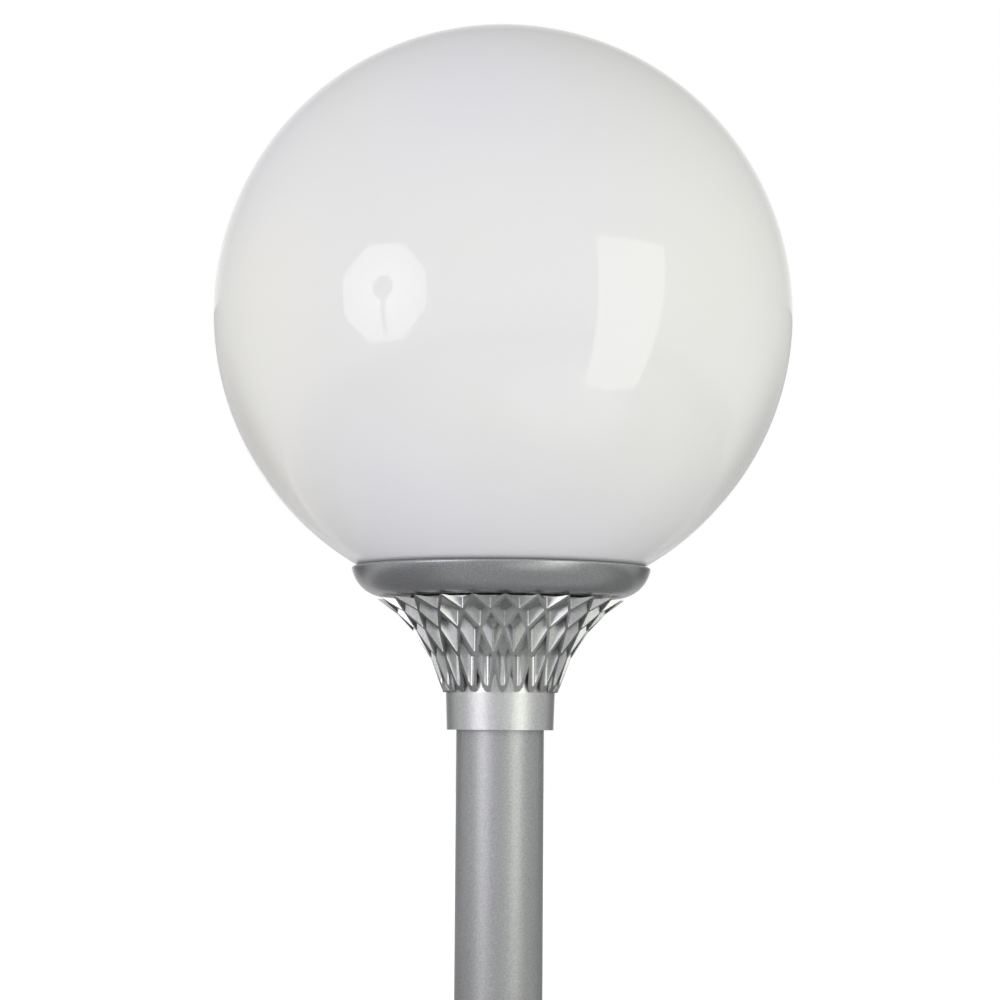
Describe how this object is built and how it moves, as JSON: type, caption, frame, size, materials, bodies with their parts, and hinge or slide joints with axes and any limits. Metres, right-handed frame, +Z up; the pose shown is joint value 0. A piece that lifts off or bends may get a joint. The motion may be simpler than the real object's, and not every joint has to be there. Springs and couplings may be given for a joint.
{
  "type": "globe street lamp",
  "caption": "Post-top street lamp: an opal globe on a dish, held by a cast fitter with overlapping leaves and a collar on a round pole end.",
  "frame": {"origin": "centre of the pole's foot, on the surface that it stands on", "axes": "+Z up along the pole, the front of the picture faces -Y, +X to its right"},
  "size_m": [0.3999, 0.4, 0.7357],
  "materials": {
    "pole_paint": "silver-grey satin paint with a fine grain",
    "cast_aluminium": "bright satin cast aluminium, turned on the collar",
    "dark_steel": "blackened steel",
    "rubber": "black rubber",
    "dish_paint": "metallic grey satin paint",
    "steel": "bright zinc-plated steel",
    "aluminium": "plain aluminium",
    "opal": "glossy opal white",
    "zinc_sheet": "zinc-plated sheet steel",
    "porcelain": "glazed white porcelain",
    "brass": "plain brass",
    "bulb_glass": "frosted white glass with a metal cap",
    "terminal_plastic": "pale moulded plastic",
    "brown_sheath": "brown sheath",
    "blue_sheath": "blue sheath",
    "green_sheath": "green and yellow sheath"
  },
  "bodies": {
    "root": {"pole": "pole_paint", "leaf_casting": "cast_aluminium", "grub_screws": "dark_steel", "dish_gasket": "rubber", "dish": "dish_paint", "dish_bolts": "steel", "bolt_washers": "steel", "bayonet_ring": "aluminium", "ring_screws": "steel", "globe_seal": "rubber", "globe": "opal", "tray_pillars": "steel", "gear_tray": "zinc_sheet", "tray_screws": "steel", "holder_bracket": "zinc_sheet", "bracket_screws": "steel", "holder_nipple": "steel", "nipple_nut": "steel", "holder_body": "porcelain", "holder_shell": "brass", "holder_contact": "brass", "bulb": "bulb_glass", "terminal_block": "terminal_plastic", "terminal_screws": "steel", "cable_clamp": "zinc_sheet", "clamp_screws": "steel", "earth_stud": "brass", "earth_nuts": "brass", "live_lead": "brown_sheath", "neutral_lead": "blue_sheath", "earth_lead": "green_sheath"}
  },
  "joints": []
}
